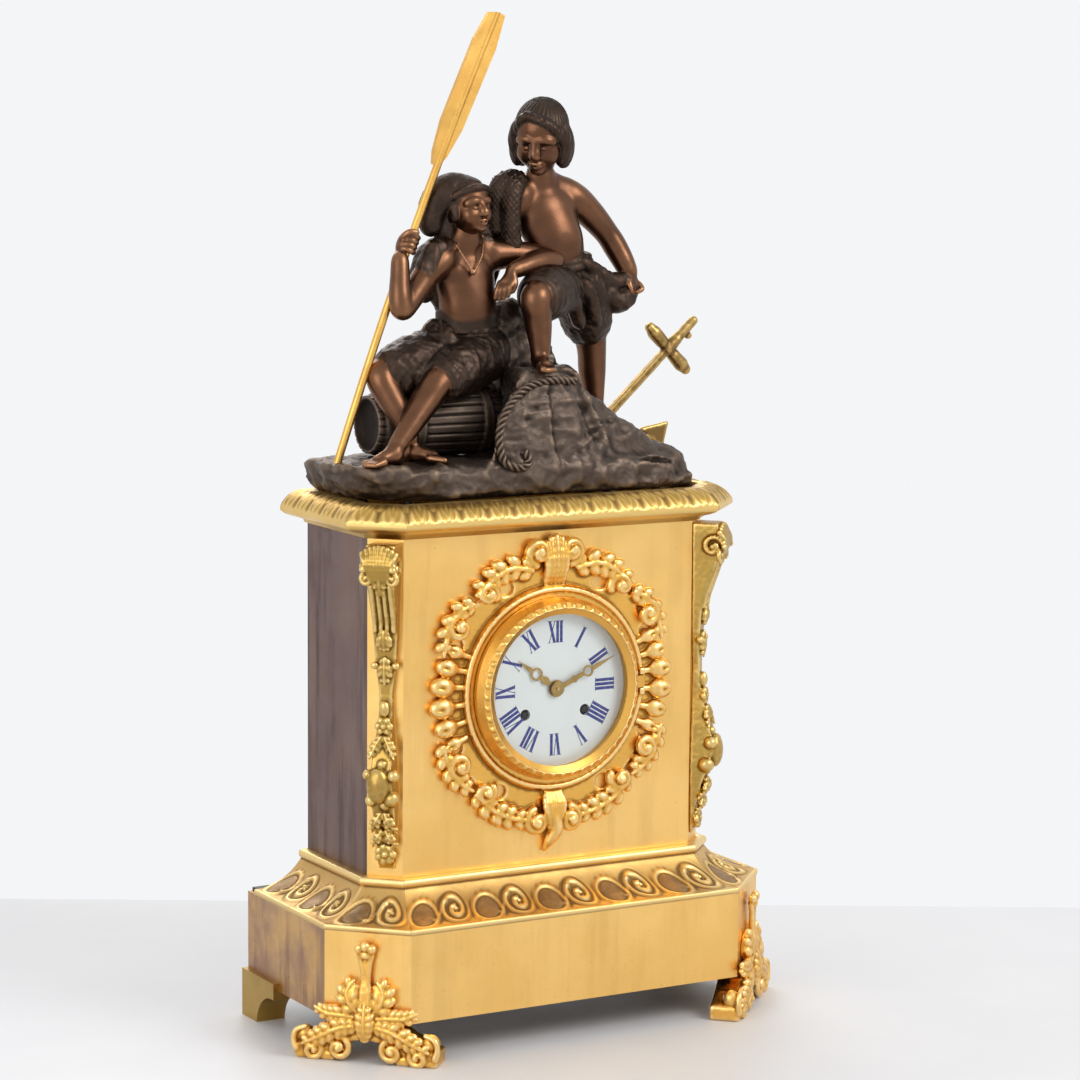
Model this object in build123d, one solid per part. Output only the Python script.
from build123d import *
import math
import os

# Case sizes in millimetres
foot_height = 23.0
foot_reach = 18.0
foot_proud = 8.0
plinth_width = 288.0
plinth_depth = 138.0
plinth_height = 50.5
plinth_cant = 36.0
plinth_wall = 6.0
base_plate_thick = 2.0
cove_height = 19.0
bead_height = 5.0
body_width = 220.0
body_depth = 92.0
body_height = 193.0
body_cant = 15.0
body_wall = 3.0
body_setback = 10.0
cornice_height = 19.5
cornice_overhang = 18.5
top_plate_thick = 5.5
console_width = 17.0
console_reach = 20.0

# Dial, bezel and hand sizes
dial_drop = 91.0
dial_radius = 46.0
sight_radius = 44.0
bezel_radius = 53.0
bezel_depth = 9.7
dial_proud = 6.0
dial_thick = 2.0
winding_spread = 19.7
winding_drop = 14.1
winding_hole = 3.25
minute_hand_length = 41.0
hour_hand_length = 31.0
shown_hour = 10
shown_minute = 11

# Movement sizes
plate_radius = 43.5
plate_thick = 2.0
plate_gap = 36.5
pivot_radius = 0.5
arbor_radius = 0.75
running_fit = 0.05
barrel_radius = 16.5
pendulum_length = 120.0
bob_radius = 18.0
bell_radius = 30.0

# Tooth counts and modules
great_teeth, great_module = 84, 0.433
second_pinion = 14
second_teeth, second_module = 77, 0.40
centre_pinion = 11
centre_teeth, centre_module = 84, 0.36
third_pinion = 7
third_teeth, third_module = 84, 0.33
escape_pinion = 7
escape_teeth, escape_radius = 36, 10.0
cannon_teeth, minute_teeth, motion_module = 12, 36, 0.50
minute_pinion, hour_teeth, hour_module = 10, 40, 0.48

# Group sizes
rock_height = 20.0
mound_height = 70.0
shelf_height = 36.0
spur_height = 103.0
keg_radius = 20.0
keg_end_radius = 16.5
keg_length = 96.0
oar_radius = 2.3
oar_height = 273.0
rope_radius = 2.5
shank_width = 5.0

# Levels and planes that follow from the sizes
z_plinth = foot_height
z_cove = z_plinth + plinth_height
z_bead = z_cove + cove_height
z_body = z_bead + bead_height
z_cornice = z_body + body_height
z_top = z_cornice + cornice_height
z_dial = z_cornice - dial_drop
y_back = (foot_reach + plinth_depth) / 2
y_front = y_back - plinth_depth
y_body_back = y_back - body_setback
y_body = y_body_back - body_depth
front_run = y_body - y_front
y_dial = y_body - dial_proud
y_plate = y_body + 3.5
y_rear_plate = y_plate + plate_thick + plate_gap
y_group = (y_body + y_body_back) / 2

parts = {}


# Plan corners, body line first and plinth line second
def plan_corners(y_rear):
    half, cant = body_width / 2, body_cant
    wide, big = plinth_width / 2, plinth_cant
    inner = [(-half, y_rear), (-half, y_body + cant), (-half + cant, y_body)]
    outer = [(-wide, y_rear), (-wide, y_front + big), (-wide + big, y_front)]
    left = list(zip(inner, outer))
    right = [((-a[0], a[1]), (-b[0], b[1])) for a, b in reversed(left)]
    return left + right


def plan_point(corner, offset):
    (xa, ya), (xb, yb) = corner
    share = offset / front_run
    return xa + (xb - xa) * share, ya + (yb - ya) * share


# One length of moulding or plate between plan corners
def moulding(corners, profile):
    sections = []
    for corner in corners:
        edges = []
        for kind, points in profile:
            spots = [Vector(*plan_point(corner, o), z) for o, z in points]
            edges.append(Line(*spots) if kind == "line" else ThreePointArc(*spots))
        sections.append(make_face(edges))
    return loft(sections, ruled=True)


def closed_lines(points):
    return [("line", (a, b)) for a, b in zip(points, points[1:] + points[:1])]


def wall_profile(offset, wall, low, high):
    return closed_lines([(offset, low), (offset, high), (offset - wall, high), (offset - wall, low)])


# Slab between two depths from a face drawn in x and z
def slab(face, y0, y1):
    plane = Plane(origin=(0, y1, 0), x_dir=(1, 0, 0), z_dir=(0, -1, 0))
    return extrude(plane * face, amount=y1 - y0)


def rod_y(x, z, radius, y0, y1):
    return slab(Pos(x, z) * Circle(radius), y0, y1)


def block(x0, x1, y0, y1, z0, z1):
    size = Box(x1 - x0, y1 - y0, z1 - z0)
    return Pos((x0 + x1) / 2, (y0 + y1) / 2, (z0 + z1) / 2) * size


def fuse(solids):
    return Part() + solids


# Left and right pieces kept as two solids of one node
def pair(*solids):
    return Compound(children=list(solids))


# Tapered limb with round ends
def limb(a, b, ra, rb):
    axis = Vector(*b) - Vector(*a)
    run = axis.length
    lean = math.asin((ra - rb) / run)
    mid_a, mid_b = (lean - math.pi / 2) / 2, (lean + math.pi / 2) / 2
    p1 = (ra * math.cos(lean), ra * math.sin(lean))
    p2 = (rb * math.cos(lean), run + rb * math.sin(lean))
    m1 = (ra * math.cos(mid_a), ra * math.sin(mid_a))
    m2 = (rb * math.cos(mid_b), run + rb * math.sin(mid_b))
    low, high = (0, -ra), (0, run + rb)
    edges = [ThreePointArc(low, m1, p1), Line(p1, p2), ThreePointArc(p2, m2, high), Line(high, low)]
    turned = revolve(Plane.XZ * make_face(edges), Axis.Z)
    return Plane(origin=a, z_dir=axis).location * turned


def ball(centre, radius):
    return Pos(*centre) * Sphere(radius)


# Plinth plates and base plate
def build_plinth():
    corners = plan_corners(y_back)
    wall = wall_profile(front_run, plinth_wall, z_plinth, z_cove)
    parts["plinth_front"] = moulding(corners[2:4], wall)
    parts["plinth_corners"] = pair(moulding(corners[1:3], wall), moulding(corners[3:5], wall))
    parts["plinth_sides"] = pair(moulding(corners[0:2], wall), moulding(corners[4:6], wall))
    inside = plan_point(corners[5], front_run - plinth_wall)[0]
    parts["plinth_rear"] = block(-inside, inside, y_back - plinth_wall, y_back, z_plinth, z_cove)


def tie_rod_spots():
    half = body_width / 2 - 28
    return [(x, y) for x in (-half, half) for y in (y_body + 20, y_body_back - 16)]


def plan_face(y_rear, offset, level):
    points = [plan_point(c, offset) for c in plan_corners(y_rear)]
    return Plane.XY.offset(level) * make_face(Polyline(points, close=True))


def build_base_plate():
    seat = front_run - plinth_wall / 2
    plate = extrude(plan_face(y_back, seat, z_cove), amount=base_plate_thick)
    for x, y in tie_rod_spots():
        plate -= Pos(x, y, z_cove) * Cylinder(2.6, 4 * base_plate_thick)
    parts["base_plate"] = plate


# Cove with its lip below and its bead above
def build_cove():
    run, wall = front_run, body_wall
    low = z_cove + base_plate_thick
    lip = z_cove + 3.0
    seat = run - plinth_wall / 2
    across, rise = run - 4.6, z_bead - lip
    sweep_radius = (across ** 2 + rise ** 2) / (2 * rise)
    halfway = lip + sweep_radius - math.sqrt(sweep_radius ** 2 - (across / 2) ** 2)
    curve = [(run, lip), (run - across / 2, halfway), (4.6, z_bead)]
    bead = [(4.6, z_bead), (6.4, z_bead + bead_height / 2), (4.0, z_body)]
    profile = [
        ("line", ((seat, z_cove), (run + 0.7, z_cove))),
        ("line", ((run + 0.7, z_cove), (run + 0.7, lip))),
        ("line", ((run + 0.7, lip), (run, lip))),
        ("arc", curve),
        ("arc", bead),
        ("line", ((4.0, z_body), (-wall, z_body))),
        ("line", ((-wall, z_body), (-wall, low))),
        ("line", ((-wall, low), (seat, low))),
        ("line", ((seat, low), (seat, z_cove))),
    ]
    corners = plan_corners(y_body_back)
    parts["cove_front"] = moulding(corners[2:4], profile)
    parts["cove_left"] = moulding(corners[0:3], profile)
    parts["cove_right"] = moulding(corners[3:6], profile)


# Body plates
def build_body():
    corners = plan_corners(y_body_back)
    wall = wall_profile(0, body_wall, z_body, z_cornice)
    front = moulding(corners[2:4], wall)
    parts["front_plate"] = front - rod_y(0, z_dial, dial_radius + 1, y_body - 1, y_body + body_wall + 1)
    parts["pilasters"] = pair(moulding(corners[1:3], wall), moulding(corners[3:5], wall))
    parts["side_panels"] = pair(moulding(corners[0:2], wall), moulding(corners[4:6], wall))
    inside = plan_point(corners[5], -body_wall)[0]
    back = block(-inside, inside, y_body_back - body_wall, y_body_back, z_body, z_cornice)
    hole = rod_y(0, z_dial, dial_radius + 1.5, y_body_back - body_wall - 1, y_body_back + 1)
    parts["back_plate"] = back - hole


# Cornice lengths and the tray-like top plate
def build_cornice():
    over, seat = cornice_overhang, body_wall / 2
    low, mid = z_cornice + 2.5, z_cornice + cornice_height * 0.40
    lip = mid + 2.5
    profile = [
        ("line", ((-seat, z_cornice), (2.2, z_cornice))),
        ("line", ((2.2, z_cornice), (3.2, low))),
        ("arc", ((3.2, low), (over * 0.62, low + 1.9), (over, mid))),
        ("line", ((over, mid), (over, lip))),
        ("arc", ((over, lip), (over * 0.70, z_top - 3.0), (3.0, z_top))),
        ("line", ((3.0, z_top), (-seat, z_top))),
        ("line", ((-seat, z_top), (-seat, z_cornice))),
    ]
    corners = plan_corners(y_body_back)
    parts["cornice_front"] = moulding(corners[2:4], profile)
    parts["cornice_left"] = moulding(corners[0:3], profile)
    parts["cornice_right"] = moulding(corners[3:6], profile)
    plate = extrude(plan_face(y_body_back, -seat, z_cornice), amount=top_plate_thick)
    inside = plan_point(corners[5], -seat)[0]
    plate += block(-inside, inside, y_body_back - 4, y_body_back, z_cornice, z_top)
    for x, y in tie_rod_spots():
        plate -= Pos(x, y, z_cornice) * Cylinder(2.6, 4 * top_plate_thick)
    parts["top_plate"] = plate


# Tie rods with their nuts below and above
def build_tie_rods():
    solids = []
    start, end = z_cove - 6, z_top + 8
    for x, y in tie_rod_spots():
        solids.append(Pos(x, y, (start + end) / 2) * Cylinder(2.5, end - start))
        for level in (z_cove - 4, z_cornice + top_plate_thick):
            nut = extrude(RegularPolygon(5.0, 6) - Circle(2.55), amount=4)
            solids.append(Pos(x, y, level) * nut)
    parts["tie_rods"] = Compound(children=solids)


# Scrolled front foot drawn on the canted corner
def front_foot(side):
    cx = side * (plinth_width / 2 - plinth_cant / 2)
    cy = y_front + plinth_cant / 2
    plane = Plane(origin=(cx, cy, 0), x_dir=(-side, -1, 0), z_dir=(side, -1, 0))
    if side > 0:
        plane = Plane(origin=(cx, cy, 0), x_dir=(1, 1, 0), z_dir=(1, -1, 0))
    span = (foot_reach + plinth_cant / 2) * math.sqrt(2) - foot_proud
    neck = span * 0.66
    h = foot_height
    low_edges = [
        Line((-span, 0), (-span * 0.56, 0)),
        ThreePointArc((-span * 0.56, 0), (0, h * 0.48), (span * 0.56, 0)),
        Line((span * 0.56, 0), (span, 0)),
        Line((span, 0), (span, h * 0.26)),
        ThreePointArc((span, h * 0.26), (span * 0.76, h * 0.52), (neck, h)),
        Line((neck, h), (-neck, h)),
        ThreePointArc((-neck, h), (-span * 0.76, h * 0.52), (-span, h * 0.26)),
        Line((-span, h * 0.26), (-span, 0)),
    ]
    low = extrude(plane * make_face(low_edges), amount=foot_proud)
    low += extrude(plane * make_face(low_edges), amount=-14)
    leaf = [(neck, h), (neck * 0.72, h + 9), (neck * 0.22, h + 17), (3.2, h + 26), (3.2, h + 40)]
    points = leaf + [(-x, z) for x, z in reversed(leaf)]
    high = extrude(plane * make_face(Polyline(points, close=True)), amount=foot_proud * 0.7)
    high += extrude(plane * (Pos(0, h + 41) * Circle(6)), amount=foot_proud * 0.8)
    toes = [plane.location * Pos(s * span * 0.895, h * 0.52, -1) * Sphere(4.5) for s in (-1, 1)]
    return fuse([low, high] + toes)


# Plain rear foot along the side
def rear_foot(side):
    h = foot_height
    edges = [
        Line((y_back, 0), (y_back - 20, 0)),
        ThreePointArc((y_back - 20, 0), (y_back - 26, h * 0.55), (y_back - 43, h * 0.8)),
        Line((y_back - 43, h * 0.8), (y_back - 43, h + 5)),
        Line((y_back - 43, h + 5), (y_back, h + 5)),
        Line((y_back, h + 5), (y_back, 0)),
    ]
    wide = plinth_width / 2
    plane = Plane(origin=(wide, 0, 0), x_dir=(0, 1, 0), z_dir=(1, 0, 0))
    foot = extrude(plane * make_face(edges), amount=4)
    inner = extrude(plane * make_face(edges), amount=-14)
    inner &= block(0, wide, y_back - 60, y_back, 0, h)
    foot += inner
    return foot if side > 0 else mirror(foot, about=Plane.YZ)


# Corner console on the canted pilaster
def console(side):
    cx = side * (body_width / 2 - body_cant / 2)
    cy = y_body + body_cant / 2
    plane = Plane(origin=(cx, cy, 0), x_dir=(side, -1, 0), z_dir=(-1, -side, 0))
    reach, h = console_reach, body_height
    outline = [(0.00, 0.035), (0.20, 0.05), (0.25, 0.11), (0.45, 0.20), (0.80, 0.30), (0.52, 0.39),
               (0.30, 0.49), (0.28, 0.64), (0.40, 0.76), (0.72, 0.85), (1.00, 0.92), (0.72, 0.972),
               (0.00, 0.985)]
    points = [(n * reach, z_body + z * h) for n, z in outline]
    face = make_face([Spline(*points), Line(points[-1], points[0])])
    return extrude(plane * face, amount=console_width / 2, both=True)


# Pierced surround of the dial with its crest, tail and bezel knuckles
def surround():
    back, rim = y_body, y_body - dial_proud
    solid = slab(Circle(60) - Circle(50.3), rim, back)
    oval = Ellipse(75, 83) - Ellipse(64, 71)
    solid += slab(oval, rim - 2, back)
    for turn in range(0, 360, 45):
        arm = Rot(0, 0, turn + 22.5) * Pos(64, 0) * Rectangle(16, 15)
        solid += slab(arm, rim, back)
    for turn in (90, 270):
        arm = Rot(0, 0, turn) * Pos(66, 0) * Rectangle(18, 22)
        solid += slab(arm, rim, back)
    tail = make_face(Polyline([(-15, -79), (15, -79), (7, -90), (0, -96.5), (-7, -90)], close=True))
    crest = make_face(Polyline([(-22, 78), (22, 78), (12, 86), (0, 89.5), (-12, 86)], close=True))
    solid += slab(tail, rim, back)
    solid += slab(crest, rim - 2, back)
    return Pos(0, 0, z_dial) * solid


hinge_x = bezel_radius + 3.5
hinge_y = y_dial - 2.2


def knuckle(x, y, z0, z1, radius):
    return Pos(x, y, z_dial + (z0 + z1) / 2) * Cylinder(radius, z1 - z0)


def build_surround():
    solid = surround()
    for low in (-8.0, 3.7):
        solid += knuckle(hinge_x, hinge_y, low, low + 4.3, 1.9)
        solid += block(hinge_x - 1.9, hinge_x + 1.9, hinge_y, y_dial + 1, z_dial + low, z_dial + low + 4.3)
    solid -= knuckle(hinge_x, hinge_y, -9, 9, 0.9)
    parts["dial_surround"] = solid


# Bezel ring that opens on the right, with its glass
def build_bezel():
    y1 = y_dial - 0.3
    y0 = y1 - bezel_depth
    edges = Polyline([
        (sight_radius + 1.6, y1), (bezel_radius, y1), (bezel_radius, y1 - 2.7),
        (bezel_radius - 2.5, y0 + 2.4), (sight_radius + 3.4, y0), (sight_radius, y0 + 2.5),
        (sight_radius, y0 + 3.5), (sight_radius + 1.6, y0 + 3.5)], close=True)
    ring = Pos(0, 0, z_dial) * revolve(make_face(edges), Axis.Y)
    tab = block(bezel_radius - 3, hinge_x, hinge_y - 1.6, hinge_y + 1.6, z_dial - 3.5, z_dial + 3.5)
    tab -= rod_y(0, z_dial, bezel_radius - 1, y0 - 1, y1 + 1)
    ring += tab
    ring += knuckle(hinge_x, hinge_y, -3.5, 3.5, 1.9)
    ring -= knuckle(hinge_x, hinge_y, -4, 4, 0.9 + running_fit)
    parts["bezel_ring"] = ring
    parts["bezel_glass"] = rod_y(0, z_dial, sight_radius + 1.5, y0 + 3.5, y0 + 5.0)


# Enamel dial and the brass dial plate behind it
def winding_spots():
    return [(winding_spread, -winding_drop), (-winding_spread, -winding_drop)]


def build_dial():
    face = Circle(dial_radius) - Circle(4.2)
    for x, z in winding_spots():
        face -= Pos(x, z) * Circle(winding_hole)
    back = y_dial + dial_thick
    parts["enamel_dial"] = Pos(0, 0, z_dial) * slab(face, y_dial, back)
    disc = Circle(50) - Circle(5)
    for x, z in winding_spots():
        disc -= Pos(x, z) * Circle(winding_hole + 1)
    plate = slab(disc, back, back + 1.5)
    plate += slab(Circle(50) - Circle(47.5), back + 1.5, y_body)
    for x, z in ((-31, 24), (31, 24), (0, -36)):
        plate += rod_y(x, z, 1.8, back + 1.5, y_plate)
    parts["dial_plate"] = Pos(0, 0, z_dial) * plate


# Toothed outline, one straight-sided tooth at a time
def toothed(teeth, module, phase=0.0, bore=0.0):
    radius, pitch = teeth * module / 2, 2 * math.pi / teeth
    points = []
    for i in range(teeth):
        for level, turn in ((-1.35, -0.24), (0.85, -0.08), (0.85, 0.08), (-1.35, 0.24)):
            angle = phase + (i + turn) * pitch
            reach = radius + level * module
            points.append((reach * math.cos(angle), reach * math.sin(angle)))
    face = make_face(Polyline(points, close=True))
    return face - Circle(bore) if bore else face


# Phase that puts a tooth of one wheel into a gap of the other
def mesh_phase(a, teeth_a, phase_a, b, teeth_b):
    line = math.atan2(b[1] - a[1], b[0] - a[0])
    share = teeth_a * (line - phase_a) / (2 * math.pi)
    return line + math.pi - 2 * math.pi * (0.5 - share) / teeth_b


def meeting_point(a, ra, b, rb, side):
    gap = math.dist(a, b)
    along = (ra * ra - rb * rb + gap * gap) / (2 * gap)
    off = side * math.sqrt(ra * ra - along * along)
    ux, uz = (b[0] - a[0]) / gap, (b[1] - a[1]) / gap
    return a[0] + ux * along - uz * off, a[1] + uz * along + ux * off


# Arbor positions from the tooth counts
centre = (0.0, 0.0)
going_barrel_at, strike_barrel_at = winding_spots()
barrel_reach = great_module * (great_teeth + second_pinion) / 2
second_at = meeting_point(centre, second_module * (second_teeth + centre_pinion) / 2,
                          going_barrel_at, barrel_reach, 1)
third_reach = centre_module * (centre_teeth + third_pinion) / 2
third_at = (third_reach * math.cos(math.radians(128)), third_reach * math.sin(math.radians(128)))
escape_reach = third_module * (third_teeth + escape_pinion) / 2
escape_at = (0.0, third_at[1] + math.sqrt(escape_reach ** 2 - third_at[0] ** 2))
pallet_at = (0.0, escape_at[1] + escape_radius + 3.5)
pin_at = (strike_barrel_at[0] + barrel_reach * math.cos(math.radians(103.4)),
          strike_barrel_at[1] + barrel_reach * math.sin(math.radians(103.4)))
motion_reach = motion_module * (cannon_teeth + minute_teeth) / 2
minute_at = (motion_reach * math.cos(math.radians(125)), motion_reach * math.sin(math.radians(125)))
hammer_at = (-38.0, 14.0)
pillar_spots = [(-24, 32), (24, 32), (-13, -37.8), (13, -37.8)]

# Depth layers of the movement, from the inner face of the front plate
y_in = y_plate + plate_thick
y_great = y_in + 22.5
y_third = y_in + 25.5
y_second = y_in + 28.5
y_pin = y_in + 30.5
y_centre = y_in + 32.5
y_escape = y_in + 16.5
y_out = y_rear_plate + plate_thick


def placed(solid, spot):
    return Pos(spot[0], 0, z_dial + spot[1]) * solid


# Arbor with shouldered pivots in both plates
def arbor(front=None, rear=None):
    shaft = rod_y(0, 0, arbor_radius, y_in + 0.2, y_rear_plate - 0.2)
    shaft += rod_y(0, 0, pivot_radius, front or y_plate + 0.1, y_in + 0.2)
    return shaft + rod_y(0, 0, pivot_radius, y_rear_plate - 0.2, rear or y_out - 0.1)


# Wheel with rim, hub and four crossings
def crossed_wheel(face, root, y0, y1):
    wheel = slab(face, y0, y1)
    rim, hub = root - 2.0, 3.6
    if rim - hub < 2:
        return wheel
    ring = Circle(rim) - Circle(hub)
    for turn in (0, 90):
        ring -= Rot(0, 0, turn) * Rectangle(2 * rim + 2, 2.2)
    return wheel - slab(ring, y0 - 1, y1 + 1)


def build_plates():
    holes = [second_at, third_at, escape_at, pin_at]
    front, rear = Circle(plate_radius), Circle(plate_radius)
    for x, z in holes + [pallet_at, hammer_at]:
        front -= Pos(x, z) * Circle(pivot_radius + running_fit)
    for x, z in holes + [centre]:
        rear -= Pos(x, z) * Circle(pivot_radius + running_fit)
    front -= Circle(1.0 + running_fit)
    rear -= Pos(*pallet_at) * Circle(arbor_radius + 1.0)
    rear -= Pos(*hammer_at) * Circle(arbor_radius + running_fit)
    for x, z in winding_spots():
        front -= Pos(x, z) * Circle(2.0 + running_fit)
        rear -= Pos(x, z) * Circle(1.6 + running_fit)
    plate = slab(front, y_plate, y_in)
    plate += rod_y(minute_at[0], minute_at[1], 0.9, y_plate - 5.8, y_plate)
    parts["front_movement_plate"] = Pos(0, 0, z_dial) * plate
    parts["rear_movement_plate"] = Pos(0, 0, z_dial) * slab(rear, y_rear_plate, y_out)
    bars = [placed(rod_y(0, 0, 2.2, y_in, y_rear_plate), spot) for spot in pillar_spots]
    parts["pillars"] = Compound(children=bars)


# Hollow spring barrel with its great wheel
def barrel(spot, phase):
    drum = rod_y(0, 0, barrel_radius, y_great - 18, y_great)
    drum -= rod_y(0, 0, barrel_radius - 1.2, y_great - 16.8, y_great)
    wheel = slab(toothed(great_teeth, great_module, phase), y_great, y_great + 2)
    bored = drum + wheel - rod_y(0, 0, 2.0 + running_fit, y_in, y_rear_plate)
    return placed(bored, spot)


def winding_arbor(spot):
    shaft = rod_y(0, 0, 2.0, y_plate - 2, y_rear_plate - 0.2)
    shaft += rod_y(0, 0, 1.6, y_rear_plate - 0.2, y_out - 0.1)
    shaft += slab(Rectangle(3.2, 3.2), y_dial + 0.4, y_plate - 2)
    saw = []
    for i in range(18):
        for reach, turn in ((6.2, 0.0), (7.4, 0.1)):
            angle = (i + turn) * math.pi / 9
            saw.append((reach * math.cos(angle), reach * math.sin(angle)))
    shaft += slab(make_face(Polyline(saw, close=True)), y_plate - 1.5, y_plate - 0.3)
    return placed(shaft, spot)


def build_barrels():
    parts["going_barrel"] = barrel(going_barrel_at, 0.0)
    parts["strike_barrel"] = barrel(strike_barrel_at, 0.0)
    parts["going_winding_arbor"] = winding_arbor(going_barrel_at)
    parts["strike_winding_arbor"] = winding_arbor(strike_barrel_at)


# Going train wheels
def build_train():
    phase = mesh_phase(going_barrel_at, great_teeth, 0.0, second_at, second_pinion)
    second = arbor() + slab(toothed(second_pinion, great_module, phase), y_great - 0.5, y_great + 2.3)
    root = second_teeth * second_module / 2
    second += crossed_wheel(toothed(second_teeth, second_module), root, y_second, y_second + 1.5)
    parts["second_wheel"] = placed(second, second_at)

    phase = mesh_phase(second_at, second_teeth, 0.0, centre, centre_pinion)
    wheel = rod_y(0, 0, 1.0, y_dial - 3.9, y_in + 0.2)
    wheel += rod_y(0, 0, arbor_radius, y_in + 0.2, y_rear_plate - 0.2)
    wheel += rod_y(0, 0, pivot_radius, y_rear_plate - 0.2, y_out - 0.1)
    wheel += slab(toothed(centre_pinion, second_module, phase), y_second - 0.4, y_second + 1.9)
    root = centre_teeth * centre_module / 2
    wheel += crossed_wheel(toothed(centre_teeth, centre_module), root, y_centre, y_centre + 1.2)
    parts["centre_wheel"] = placed(wheel, centre)

    phase = mesh_phase(centre, centre_teeth, 0.0, third_at, third_pinion)
    third = arbor() + slab(toothed(third_pinion, centre_module, phase), y_centre - 0.4, y_centre + 1.6)
    root = third_teeth * third_module / 2
    third += crossed_wheel(toothed(third_teeth, third_module), root, y_third, y_third + 1.2)
    parts["third_wheel"] = placed(third, third_at)

    phase = mesh_phase(third_at, third_teeth, 0.0, escape_at, escape_pinion)
    escape = arbor() + slab(toothed(escape_pinion, third_module, phase), y_third - 0.4, y_third + 1.6)
    escape += crossed_wheel(escape_face(), escape_radius - 2.0, y_escape, y_escape + 1.0)
    parts["escape_wheel"] = placed(escape, escape_at)


def escape_face():
    points = []
    for i in range(escape_teeth):
        for reach, turn in ((escape_radius - 2.0, 0.0), (escape_radius, 0.42), (escape_radius, 0.55),
                            (escape_radius - 2.0, 0.50)):
            angle = (i + turn) * 2 * math.pi / escape_teeth
            points.append((reach * math.cos(angle), reach * math.sin(angle)))
    return make_face(Polyline(points, close=True))


# Pallets with crutch, on the axis the pendulum hangs from
def build_pallets():
    drop = pallet_at[1] - escape_at[1]
    body = arbor(rear=y_out + 4.4) + rod_y(0, 0, arbor_radius, y_rear_plate - 0.2, y_out + 1.8)
    arms = make_face(Polyline([(-10.6, -7.6), (-9.4, -8.4), (-7.6, -3.4), (0, -1.6), (7.6, -3.4),
                               (9.4, -8.4), (10.6, -7.6), (8.6, -1.0), (0, 2.4), (-8.6, -1.0)], close=True))
    arms -= Pos(0, -drop) * Circle(escape_radius + 1.1)
    body += slab(arms, y_escape, y_escape + 1.4)
    crutch = Pos(0, -11.5) * Rectangle(1.8, 26) + Pos(0, -24.5) * Rectangle(6.4, 2.0)
    body += slab(crutch, y_out + 0.4, y_out + 1.4)
    for side in (-1, 1):
        body += slab(Pos(side * 2.6, -24.5) * Rectangle(1.2, 2.0), y_out + 1.4, y_out + 10)
    parts["pallets"] = placed(body, pallet_at)


def build_suspension():
    feet = Pos(-10, 0) * Rectangle(5, 8) + Pos(10, 0) * Rectangle(5, 8)
    cock = slab(feet, y_out, y_out + 2)
    cock += slab(Rectangle(25, 8) - Circle(pivot_radius + running_fit), y_out + 2, y_out + 4.5)
    cock += rod_y(0, 0, 1.0, y_out + 4.5, y_out + 11)
    cock += rod_y(0, 0, 1.8, y_out + 10, y_out + 11)
    parts["suspension_cock"] = placed(cock, pallet_at)


# Pendulum rod, bob and rating nut
def build_pendulum():
    hang = y_out + 7
    foot = -pendulum_length - bob_radius - 6
    eye = slab(Circle(2.6) - Circle(1.0 + running_fit), hang - 1.5, hang + 1.5)
    stem = Pos(0, hang, (foot - 2) / 2) * Cylinder(1.2, -foot - 2)
    parts["pendulum_rod"] = placed(eye + stem, pallet_at)
    edges = [ThreePointArc((0, -4.5), (bob_radius * 0.6, -3.4), (bob_radius, -0.6)),
             Line((bob_radius, -0.6), (bob_radius, 0.6)),
             ThreePointArc((bob_radius, 0.6), (bob_radius * 0.6, 3.4), (0, 4.5)),
             Line((0, 4.5), (0, -4.5))]
    lens = revolve(make_face(edges), Axis.Y)
    bob = Pos(0, hang, -pendulum_length) * lens
    bore = Pos(0, hang, -pendulum_length) * Cylinder(1.2 + running_fit, 3 * bob_radius)
    nut = Pos(0, hang, foot + 4) * Cylinder(3.0, 4) - bore
    parts["pendulum_bob"] = pair(placed(bob - bore, pallet_at), placed(nut, pallet_at))


# Pin wheel, hammer, bell and bell stand
def build_strike():
    phase = mesh_phase(strike_barrel_at, great_teeth, 0.0, pin_at, second_pinion)
    wheel = arbor() + slab(toothed(second_pinion, great_module, phase), y_great - 0.5, y_great + 2.3)
    wheel += crossed_wheel(Circle(9.5), 9.5, y_pin, y_pin + 1.2)
    for i in range(10):
        angle = i * math.pi / 5
        wheel += rod_y(8.4 * math.cos(angle), 8.4 * math.sin(angle), 0.5, y_pin - 1.6, y_pin)
    parts["pin_wheel"] = placed(wheel, pin_at)

    reach = math.dist(hammer_at, pin_at) - 8.9 - 0.6
    turn = math.degrees(math.atan2(pin_at[1] - hammer_at[1], pin_at[0] - hammer_at[0]))
    tail = Rot(0, 0, turn) * Pos(reach / 2, 0) * Rectangle(reach, 1.6)
    body = arbor(rear=y_out + 18) + slab(tail, y_pin - 1.4, y_pin - 0.2)
    body += rod_y(0, 0, arbor_radius, y_rear_plate - 0.2, y_out + 20)
    angle = math.radians(125)
    head_x = (bell_radius + 4.6) * math.cos(angle) - hammer_at[0]
    head_z = (bell_radius + 4.6) * math.sin(angle) - hammer_at[1]
    length = math.hypot(head_x, head_z)
    bar = Rot(0, 0, math.degrees(math.atan2(head_z, head_x))) * Pos(length / 2, 0) * Rectangle(length, 1.8)
    body += slab(bar, y_out + 18, y_out + 20)
    body += rod_y(head_x, head_z, 3.2, y_out + 16, y_out + 22)
    parts["hammer"] = placed(body, hammer_at)


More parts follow.
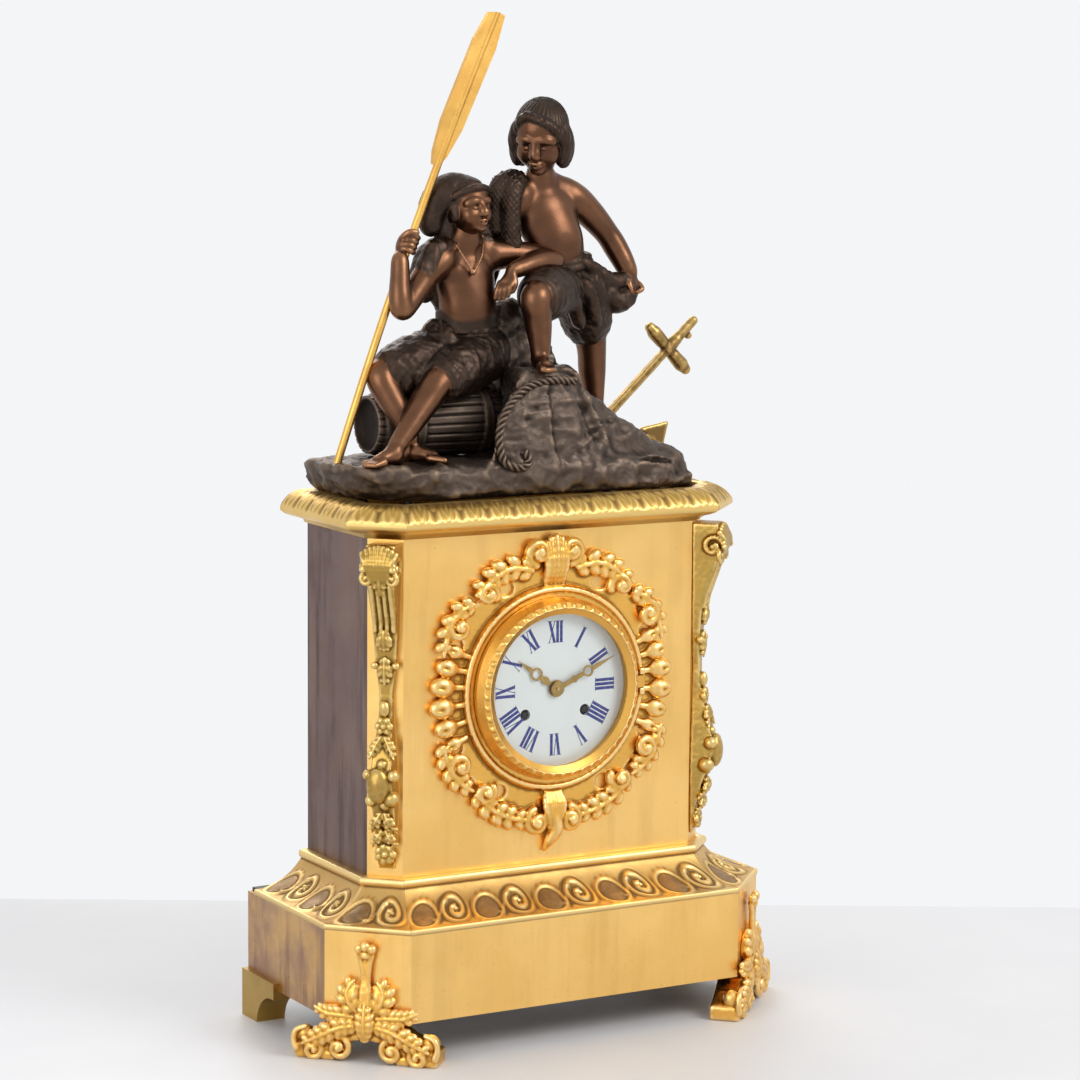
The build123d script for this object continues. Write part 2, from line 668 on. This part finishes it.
def build_bell():
    mouth, crown = y_out + 16, y_out + 34
    dome = (bell_radius ** 2 + 18 ** 2) / 36
    bell = Pos(0, crown - dome, 0) * (Sphere(dome) - Sphere(dome - 2))
    bell &= rod_y(0, 0, 2 * bell_radius, mouth, crown + 1)
    bell -= rod_y(0, 0, 1.5 + running_fit, mouth, crown + 1)
    parts["bell"] = placed(bell, centre)
    post = (20.0, -33.0)
    stand = rod_y(post[0], post[1], 2.0, y_out, crown + 4)
    run = math.hypot(*post)
    arm = Rot(0, 0, math.degrees(math.atan2(post[1], post[0]))) * Pos(run / 2, 0) * Rectangle(run + 4, 4)
    stand += slab(arm, crown + 1.5, crown + 4)
    stand += rod_y(0, 0, 3.0, crown, crown + 1.5)
    stand += rod_y(0, 0, 1.5, crown - 4, crown + 1.5)
    stand += rod_y(0, 0, 2.6, crown - 4.2, crown - 2.4)
    parts["bell_stand"] = placed(stand, centre)


# Motion work under the dial
def build_motion_work():
    low = y_plate - 4.0
    cannon = slab(toothed(cannon_teeth, motion_module, 0.0), low, y_plate - 0.7)
    cannon += rod_y(0, 0, 1.9, y_dial - 3.2, low)
    cannon -= rod_y(0, 0, 1.0 + running_fit, y_dial - 4, y_in)
    parts["cannon_pinion"] = placed(cannon, centre)
    phase = mesh_phase(centre, cannon_teeth, 0.0, minute_at, minute_teeth)
    wheel = crossed_wheel(toothed(minute_teeth, motion_module, phase), 8.4, low + 0.7, low + 2.1)
    wheel += slab(toothed(minute_pinion, hour_module, 0.0), low - 1.7, low + 0.7)
    wheel -= rod_y(0, 0, 0.9 + running_fit, low - 3, y_plate)
    parts["minute_wheel"] = placed(wheel, minute_at)
    phase = mesh_phase(minute_at, minute_pinion, 0.0, centre, hour_teeth)
    hour = crossed_wheel(toothed(hour_teeth, hour_module, phase), 9.0, low - 1.4, low - 0.4)
    hour += rod_y(0, 0, 3.0, y_dial - 1.6, low - 0.4)
    hour -= rod_y(0, 0, 1.9 + running_fit, y_dial - 4, y_in)
    parts["hour_wheel"] = placed(hour, centre)


# Pierced hand pointing up, with a round opening along the blade
def hand_face(length, hub, bore, open_at, open_radius):
    blade = make_face(Polyline([(-1.5, 0), (-1.2, length * 0.7), (0, length), (1.2, length * 0.7), (1.5, 0)],
                               close=True))
    face = blade + Circle(hub) + Pos(0, open_at) * Circle(open_radius)
    face += Pos(0, open_at * 0.55) * Circle(open_radius * 0.62)
    face -= Pos(0, open_at) * Circle(open_radius - 1.1)
    return face - Circle(bore)


def build_hands():
    minute_turn = shown_minute * 6.0
    hour_turn = (shown_hour % 12) * 30.0 + shown_minute * 0.5
    face = hand_face(minute_hand_length, 4.2, 1.9, 22.0, 3.4)
    long_hand = slab(Rot(0, 0, -minute_turn) * face, y_dial - 3.2, y_dial - 2.5)
    parts["minute_hand"] = placed(long_hand, centre)
    face = hand_face(hour_hand_length, 5.0, 3.0, 16.0, 3.8)
    short_hand = slab(Rot(0, 0, -hour_turn) * face, y_dial - 1.6, y_dial - 1.0)
    parts["hour_hand"] = placed(short_hand, centre)


# Straps from the dial plate to the rear ring, with their screws
def build_straps():
    solids = []
    start, end = y_dial + dial_thick + 1.5, y_body_back
    for side in (-1, 1):
        solids.append(placed(block(-1, 1, start, end, -6, 6), (side * 45, 0)))
        screw = rod_y(0, 0, 1.4, end, end + 3) + rod_y(0, 0, 2.8, end + 3, end + 4.5)
        solids.append(placed(screw, (side * 45, 0)))
    parts["movement_straps"] = Compound(children=solids)


# Rear ring and the round rear door
door_x = 54.0
door_y = y_body_back + 5.3


def build_rear():
    back = y_body_back
    ring = Circle(56) - Circle(42)
    for side in (-1, 1):
        ring -= Pos(side * 45, 0) * Circle(1.45)
    solid = Pos(0, 0, z_dial) * slab(ring, back, back + 3)
    for low in (-9.0, 4.2):
        solid += knuckle(door_x, door_y, low, low + 4.8, 2.0)
        solid += block(door_x - 2, door_x + 2, back + 2, door_y, z_dial + low, z_dial + low + 4.8)
    parts["rear_ring"] = solid - knuckle(door_x, door_y, -10, 10, 0.9)
    pin = knuckle(hinge_x, hinge_y, -8, 8, 0.9)
    parts["hinge_pins"] = pair(pin, knuckle(door_x, door_y, -9, 9, 0.9))
    door = slab(Circle(50.5) - Circle(48.5), back + 3.1, back + 6)
    door += slab(Circle(50.5), back + 6, back + 7.5)
    door = Pos(0, 0, z_dial) * door
    door += block(49, door_x, door_y - 1.4, door_y + 1.4, z_dial - 3.9, z_dial + 3.9)
    door += knuckle(door_x, door_y, -4.0, 4.0, 2.0)
    door -= knuckle(door_x, door_y, -5, 5, 0.9 + running_fit)
    parts["rear_door"] = door + rod_y(-40, z_dial, 3.0, back + 7.5, y_back - 0.2)


# Points of the group are counted from the middle of the cornice top
def at(x, y, z):
    return x, y_group + y, z_top + z


def ring_face(points, level):
    return Plane.XY.offset(z_top + level) * make_face(
        Polyline([(x, y_group + y) for x, y in points], close=True))


def rock_block(low, low_level, high, high_level):
    return loft([ring_face(low, low_level), ring_face(high, high_level)], ruled=True)


# Points drawn in towards their middle, for the hollow of a casting
def drawn_in(points, depth):
    mx = sum(x for x, _ in points) / len(points)
    my = sum(y for _, y in points) / len(points)
    moved = []
    for x, y in points:
        reach = math.hypot(x - mx, y - my)
        moved.append((mx + (x - mx) * (1 - depth / reach), my + (y - my) * (1 - depth / reach)))
    return moved


def rock():
    foot = [(-112, 40), (-112, -10), (-98, -34), (-62, -45.5), (20, -45), (72, -45.5), (104, -36),
            (112, -14), (112, 40), (60, 45.5), (-50, 45)]
    ledge = [(-119, 36), (-121, -6), (-112, -36), (-66, -43), (18, -44), (70, -41), (95, -32), (106, -12),
             (106, 37), (58, 43), (-52, 42)]
    slab_part = rock_block(foot, 0, ledge, rock_height)
    mound_low = [(-16, -43), (28, -44), (52, -38), (66, -8), (62, 32), (20, 40), (-8, 34), (-14, -10)]
    mound_high = [(-9, -31), (12, -33), (27, -27), (35, -6), (33, 20), (14, 27), (-4, 22), (-8, -6)]
    mound = rock_block(mound_low, rock_height / 2, mound_high, mound_height)
    shelf_low = [(36, -36), (92, -33), (104, -12), (103, 32), (60, 41), (34, 30)]
    shelf_high = [(42, -22), (66, -20), (74, -4), (84, 28), (56, 34), (40, 24)]
    shelf = rock_block(shelf_low, rock_height / 2, shelf_high, shelf_height)
    butt_low = [(-38, -42), (4, -43.5), (6, -12), (-14, -10)]
    butt_waist = [(-31, -38.5), (2, -40), (4, -10), (-11, -8)]
    butt_high = [(-11, -32), (2, -33), (4, -8), (-8, -6)]
    waist = 0.64 * mound_height
    butt = rock_block(butt_low, rock_height / 2, butt_waist, waist)
    butt += rock_block(butt_waist, waist, butt_high, mound_height)
    spur_low = [(-1, 4), (20, 2), (32, 6), (33, 19), (14, 26), (-1, 21)]
    spur_high = [(3, 12), (6, 10), (10, 11), (11, 16), (7, 18), (4, 17)]
    spur = rock_block(spur_low, mound_height - 4, spur_high, spur_height)
    knob_low = [(14, 3), (30, 1), (34, 8), (32, 19), (16, 20)]
    knob_high = [(23, 8), (27, 7), (30, 10), (28, 14), (24, 14)]
    knob = rock_block(knob_low, mound_height - 8, knob_high, mound_height + 17)
    filled = fuse([slab_part, mound, shelf, butt, spur, knob])
    solid = filled - rock_block(drawn_in(foot, 9), -1, drawn_in(ledge, 12), rock_height - 7)
    solid -= rock_block(drawn_in(mound_low, 9), -1, drawn_in(mound_high, 9), mound_height - 8)
    bosses = [Pos(x, y, z_top + rock_height / 2) * Cylinder(6, rock_height - 2) for x, y in tie_rod_spots()]
    solid += [boss & block(-150, 150, -150, 150, z_top, z_top + rock_height - 2) for boss in bosses]
    for x, y in tie_rod_spots():
        solid -= Pos(x, y, z_top) * Cylinder(2.6, 16.2)
    return solid, filled


def keg():
    half = keg_length / 2
    edges = [Line((-half, 0), (-half, keg_end_radius)),
             ThreePointArc((-half, keg_end_radius), (0, keg_radius), (half, keg_end_radius)),
             Line((half, keg_end_radius), (half, 0)),
             Line((half, 0), (-half, 0))]
    turned = revolve(make_face(edges), Axis.X)
    solid = Pos(*at(-42, 10, rock_height + keg_radius - 0.6)) * turned
    for share in (-0.82, -0.42, 0.42, 0.82):
        radius = keg_end_radius + (keg_radius - keg_end_radius) * (1 - share * share) + 0.7
        hoop = Rot(0, 90, 0) * Cylinder(radius, 4)
        solid += Pos(*at(-42 + share * half, 10, rock_height + keg_radius - 0.6)) * hoop
    return solid


# Bowed oar leaning on the seated boy
def oar():
    foot, tip = at(-114.7, -2, rock_height - 1), at(-13.5, -2, oar_height)
    run = Vector(*tip) - Vector(*foot)
    aside = Vector(-run.Z, 0, run.X).normalized()
    middle = (Vector(*foot) + Vector(*tip)) * 0.5 + aside * 3.5
    path = ThreePointArc(foot, middle, tip)
    shaft = sweep(Plane(origin=foot, z_dir=path % 0) * Circle(oar_radius), path=path)
    end = path % 1
    plane = Plane(origin=tip, x_dir=end, z_dir=(0, -1, 0))
    outline = [(0, -5), (-20, -7.6), (-70, -7.2), (-88, -4.6), (-95, -2.0)]
    points = outline + [(a, -b) for a, b in reversed(outline)]
    blade = extrude(plane * make_face(Polyline(points, close=True)), amount=1.6, both=True)
    crown = block(-60, 60, y_group - 40, y_group + 40, z_top + oar_height, z_top + oar_height + 20)
    return shaft + blade - crown


def seated_boy():
    neck, chest, hip = at(-31, 3, 143), at(-30, 3, 121), at(-27, 6, 84)
    solids = [
        limb(at(-31, 1, 163), at(-31, 3, 169), 14.5, 14.2),
        limb(neck, at(-31, 2, 152), 6.2, 6.0),
        limb(hip, chest, 16.6, 14.4),
        limb(at(-48, -1, 131), at(-11, 5, 134), 8.6, 8.4),
        limb(at(-50, -1, 132), at(-78, -8, 104), 7.0, 6.0),
        limb(at(-78, -8, 104), at(-77, -3, 132), 5.8, 4.8),
        ball(at(-76, -3, 135), 6.6),
        limb(at(-9, 5, 134), at(22, -1, 132.4), 7.0, 5.8),
        limb(at(22, -1, 132.4), at(-6, -13, 119.4), 5.1, 4.3),
        limb(at(-7, -13, 119), at(-13, -15, 111), 5.0, 3.8),
        limb(at(-17, 4, 78), at(-57.5, -18, 64.5), 12.4, 9.2),
        limb(at(-57.5, -18, 64.5), at(-92, -28, 28.5), 8.6, 5.4),
        limb(at(-92, -28, 26), at(-108, -32, 22.5), 5.6, 4.0),
        limb(at(-38, 6, 78), at(-87, -2, 69), 12.2, 9.0),
        limb(at(-87, -2, 69), at(-75, -17, 34), 8.4, 5.2),
        limb(at(-75, -17, 32), at(-66, -24, 24.5), 5.4, 4.2),
        limb(at(-37, 2, 172), at(-50, 4, 160), 10.0, 5.0),
    ]
    return fuse(solids)


def standing_boy():
    solids = [
        limb(at(20, 7, 199), at(22, 9, 210), 15.5, 14.8),
        limb(at(23, 9, 176), at(21, 8, 190), 7.0, 6.6),
        limb(at(40, 10, 120), at(27, 9, 158), 16.4, 15.2),
        limb(at(8, 9, 168), at(43, 11, 168), 8.8, 8.5),
        limb(at(44, 11, 168), at(67, 10, 145), 7.2, 6.2),
        limb(at(67, 10, 145), at(80, 4, 122), 6.0, 4.9),
        limb(at(80, 4, 120), at(72, 2, 104), 7.4, 9.0),
        limb(at(66, 4, 108), at(50, 10, 118), 8.2, 9.4),
        limb(at(6, 8, 166), at(-1, 16, 146), 9.2, 7.0),
        limb(at(31, 4, 114), at(3, -22, 111.4), 10.2, 8.7),
        limb(at(3, -22, 112), at(5, -23, 78), 8.4, 5.6),
        limb(at(5, -23, 76), at(1, -32, 73), 5.8, 4.4),
        limb(at(51, 12, 113), at(62, 17, 82), 12.2, 9.4),
        limb(at(62, 17, 82), at(67, 21, 44), 8.6, 5.6),
        limb(at(67, 21, 41), at(61, 10, 38.5), 6.0, 4.6),
    ]
    return fuse(solids)


# Anchor leaning on the rock
def anchor():
    low, high = Vector(*at(78, 22, 38)), Vector(*at(129, 18, 87.6))
    axis = (high - low).normalized()
    plane = Plane(origin=low, x_dir=axis, z_dir=(0, -1, 0))
    length = (high - low).length
    face = Pos(length / 2, 0) * Rectangle(length, shank_width)
    solid = extrude(plane * face, amount=shank_width / 2, both=True)
    stock = Pos(length * 0.76, 0) * Rectangle(7, 39)
    solid += extrude(plane * stock, amount=4.2, both=True)
    ring = plane.location * Pos(length + 5.5, 0, 0) * Torus(6.5, 1.5)
    arms = make_face([ThreePointArc((12, -34), (-3, 0), (12, 34)), Line((12, 34), (14, 30)),
                      ThreePointArc((14, 30), (4, 0), (14, -30)), Line((14, -30), (12, -34))])
    solid += extrude(plane * arms, amount=2.4, both=True)
    fluke = make_face(Polyline([(9, -24), (23, -33), (12, -40)], close=True))
    solid += extrude(plane * fluke, amount=4.5, both=True)
    return solid + ring


# Rope over the front of the mound
def rope():
    points = [at(23, -31.5, 63.5), at(5, -34.9, 65), at(-10, -35.6, 62), at(-22, -37.9, 53.5),
              at(-29.5, -40.3, 43), at(-32, -41.4, 33), at(-30.5, -43.2, 22.2), at(-26.5, -45.2, 18.5),
              at(-19, -45.4, 17), at(-14.5, -45, 20.5), at(-16, -42.4, 26)]
    path = Spline(*points)
    return sweep(Plane(origin=points[0], z_dir=path % 0) * Circle(rope_radius), path=path)


# Castings of the group, each cut where it meets its neighbour
def build_group():
    casting, mound = rock()
    barrel_keg, pole = keg(), oar()
    parts["rock_mound"] = casting
    parts["keg"] = max((barrel_keg - mound).solids(), key=lambda piece: piece.volume)
    parts["oar"] = pole - mound
    sitter = seated_boy() - mound - barrel_keg - pole
    stander = standing_boy() - mound - barrel_keg - sitter
    parts["seated_boy"] = sitter
    parts["standing_boy"] = stander
    parts["anchor"] = anchor() - mound - stander
    parts["rope"] = rope() - mound - stander - sitter


def build_all():
    build_plinth()
    build_base_plate()
    build_cove()
    build_body()
    build_cornice()
    build_tie_rods()
    parts["front_feet"] = pair(front_foot(-1), front_foot(1))
    parts["rear_feet"] = pair(rear_foot(-1), rear_foot(1))
    parts["consoles"] = pair(console(-1), console(1))
    build_surround()
    build_bezel()
    build_dial()
    build_plates()
    build_barrels()
    build_train()
    build_pallets()
    build_suspension()
    build_pendulum()
    build_strike()
    build_bell()
    build_motion_work()
    build_hands()
    build_straps()
    build_rear()
    build_group()


build_all()
os.makedirs("parts", exist_ok=True)
for name, shape in parts.items():
    export_step(shape, "parts/" + name + ".step")
